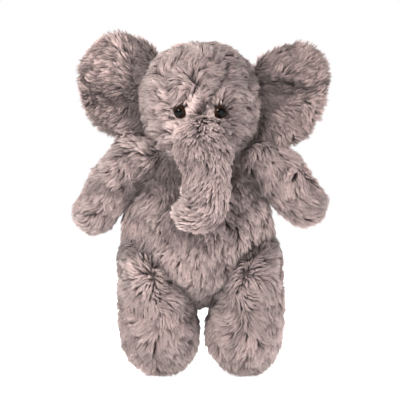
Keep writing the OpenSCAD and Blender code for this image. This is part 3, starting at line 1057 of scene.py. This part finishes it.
def make_trunk(forms, looks):
    """The trunk: an upper and a lower length, each with two plush panels and its filling."""
    form = forms["trunk"]
    root = joint_place("trunk_lift")
    bend = joint_place("trunk_curl")
    rows = trunk_rows()
    pile = grow(form, comb_trunk(rows, root), 13, [forms["head"]],
                length=9.5, height=5.2, swirl=0.6)
    clear_eyes(pile)
    spine = spline([r[:3] for r in rows], FINE)
    share = travelled(spine)
    share = share / share[-1]
    turned_up = 1000 * (np.linspace(0, 1, FINE) > 0.6)
    cut = share[np.argmin(np.abs(spine[:, 2] - bend[2]) + turned_up)]

    def panel(upper, front):
        """Chooses one panel; the upper ones part along the slanting middle of the trunk."""
        def wanted(points, along):
            middle = np.interp(along, share, spine[:, 1])
            height = np.interp(along, share, spine[:, 2])
            slant = 0.55 * (points[:, 2] - height) if upper else 0
            return ((along < cut) == upper) & ((points[:, 1] - slant < middle) == front)
        return wanted

    elbow = np.array(rows[6][:3])
    lengths = [
        (True, ("top", "under"), ("head", "trunk_upper"), rows[:5],
         (root + (root - bend) * 0.2, root + (bend - root) * 0.45)),
        (False, ("front", "back"), ("trunk_upper", "trunk_lower"), rows[4:],
         (bend, bend + (elbow - bend) * 0.6))]
    for upper, sides, bodies, stations, zone in lengths:
        moves = {"bodies": bodies, "zone": zone}
        for front, which in zip((True, False), sides):
            node = bodies[1] + "_" + which
            plush_panel(node, form, pile, panel(upper, front), looks["plush"], 60, **moves)
        part = stuffed_form(stations, 8, 8, 40, 3.2)
        face_outwards(part)
        filling(bodies[1] + "_filling", part, looks["filling"], 43, **moves)


def make_limb(kind, side, form, pile, looks, zone, seeds):
    """An arm or a leg: its two plush panels and its filling."""
    name = SIDE_NAME[side]
    moves = {"bodies": ("torso", kind + "_" + name), "zone": zone}
    middle = form["points"][:, 1].mean()
    for front in (True, False):
        node = kind + ("_front_" if front else "_back_") + name
        wanted = front_half(middle, front)
        plush_panel(node, form, pile, wanted, looks["plush"], seeds[0], **moves)
    filling(kind + "_filling_" + name, form, looks["filling"], seeds[1], **moves)


def make_arm(side, forms, looks):
    """An arm, combed from its shoulder to its paw."""
    form = forms["arm_" + SIDE_NAME[side]]
    shoulder = joint_place("arm_" + SIDE_NAME[side] + "_swing")
    line = unit(form["points"][-1] - shoulder)
    torso = [forms["torso"]]
    # Beside the torso the pile is pressed shorter and given painted shade
    pile = grow(form, comb_from(shoulder - line * 30, 0.3), 14 + side, torso, torso)
    zone = (shoulder - line * 6, shoulder + line * 22)
    make_limb("arm", side, form, pile, looks, zone, (70 + side, 44))


def make_leg(side, forms, looks):
    """A leg, combed down and away from a spot low on its front."""
    form = forms["leg_" + SIDE_NAME[side]]
    hip = joint_place("leg_" + SIDE_NAME[side] + "_fold")
    burst = np.array([hip[0] + side * 2, form["points"][:, 1].min() - 14, 54])
    torso = [forms["torso"]]
    # Beside the torso the pile is pressed shorter and given painted shade
    pile = grow(form, comb_from(burst, 1.0), 17 + side, torso, torso)
    zone = (hip + UP * 46, hip - UP * 18)
    make_limb("leg", side, form, pile, looks, zone, (80 + side, 45))


def make_ear(side, forms, looks):
    """An ear: its lining in front, plush behind, and the wadding between them."""
    name = SIDE_NAME[side]
    form = forms["ear_" + name]
    seam = joint_place("ear_" + name + "_flap")
    outwards = np.array([side * 1.0, 0, 0])
    head = [forms["head"]]
    # Beside the head the pile is pressed shorter and given painted shade; the lining's painted shade
    # comes with its form
    pile = grow(form, comb_from(seam - outwards * 20, 0.1), 20 + side, head, head,
                length=10.5, height=3.8, swirl=0.6)
    moves = {"bodies": ("head", "ear_" + name), "fill": 0.4,
             "zone": (seam - outwards * 4, seam + outwards * 12)}
    plush_panel("ear_front_" + name, form, pile, ear_half(True), looks["lining"], 90 + side,
                "plush_ear_lining", **moves)
    plush_panel("ear_back_" + name, form, pile, ear_half(False), looks["plush"], 90 + side, **moves)
    part = ear_form(side, 3.8, 2.5)
    face_outwards(part)
    filling("ear_wadding_" + name, part, looks["filling"], 46, inset=0.8, **moves)


def make_toy():
    """Builds every piece."""
    forms = sewn_forms()
    looks = make_looks()
    make_torso(forms, looks)
    make_head(forms, looks)
    make_eyes()
    make_trunk(forms, looks)
    for side in SIDES:
        make_arm(side, forms, looks)
        make_leg(side, forms, looks)
        make_ear(side, forms, looks)


# ---- floor, lights and camera

def make_floor():
    """A plain pale floor that runs out of sight, bright enough to meet the white world."""
    mesh = bpy.data.meshes.new("floor")
    reach = 12.0
    corners = [(-reach, -reach, 0), (reach, -reach, 0), (reach, reach, 0), (-reach, reach, 0)]
    mesh.from_pydata(corners, [], [(0, 1, 2, 3)])
    floor = bpy.data.objects.new("floor", mesh)
    bpy.context.scene.collection.objects.link(floor)
    material, _, shader = new_material("pale_floor")
    set_inputs(shader, {"Base Color": (0.86, 0.86, 0.86, 1), "Roughness": 0.9,
                        "Emission Color": (1, 1, 1, 1), "Emission Strength": 0.80})
    mesh.materials.append(material)


def make_world():
    """White all round: pure white to the camera, softer as light."""
    world = bpy.data.worlds.new("studio")
    world.use_nodes = True
    tree = world.node_tree
    tree.nodes.clear()
    seen = add_node(tree, "Background", {"Strength": 1.0, "Color": (1, 1, 1, 1)})
    light = add_node(tree, "Background", {"Strength": 0.27, "Color": (0.97, 0.985, 1.0, 1)})
    path = add_node(tree, "LightPath")
    mix = add_node(tree, "MixShader")
    output = add_node(tree, "OutputWorld")
    tree.links.new(path.outputs["Is Camera Ray"], mix.inputs["Fac"])
    tree.links.new(light.outputs[0], mix.inputs[1])
    tree.links.new(seen.outputs[0], mix.inputs[2])
    tree.links.new(mix.outputs[0], output.inputs["Surface"])
    bpy.context.scene.world = world


def area_light(name, place, aim, size, power, colour):
    """A soft square lamp at a place, aimed at a point; both in metres."""
    lamp = bpy.data.lights.new(name, "AREA")
    lamp.size = size
    lamp.energy = power
    lamp.color = colour
    obj = bpy.data.objects.new(name, lamp)
    bpy.context.scene.collection.objects.link(obj)
    look_at(obj, place, aim)


def look_at(obj, place, aim):
    """Puts an object at a place and turns its -Z axis to a point."""
    obj.location = place
    obj.rotation_mode = "QUATERNION"
    obj.rotation_quaternion = (Vector(aim) - Vector(place)).to_track_quat("-Z", "Y")


def make_studio():
    """Floor, world, lamps and camera."""
    make_floor()
    make_world()
    middle = (0, VIEW_PLANE, VIEW_HEIGHT)
    for name, (place, size, power, colour) in LAMPS.items():
        area_light(name, place, middle, size, power, colour)
    camera = bpy.data.cameras.new("camera")
    camera.sensor_width = SENSOR
    camera.lens = SENSOR * VIEW_DISTANCE / VIEW_WIDTH
    obj = bpy.data.objects.new("camera", camera)
    bpy.context.scene.collection.objects.link(obj)
    look_at(obj, (0, VIEW_PLANE - VIEW_DISTANCE, VIEW_HEIGHT + VIEW_RISE), middle)
    bpy.context.scene.camera = obj
    bpy.context.scene.view_settings.view_transform = "Standard"


make_studio()
make_toy()
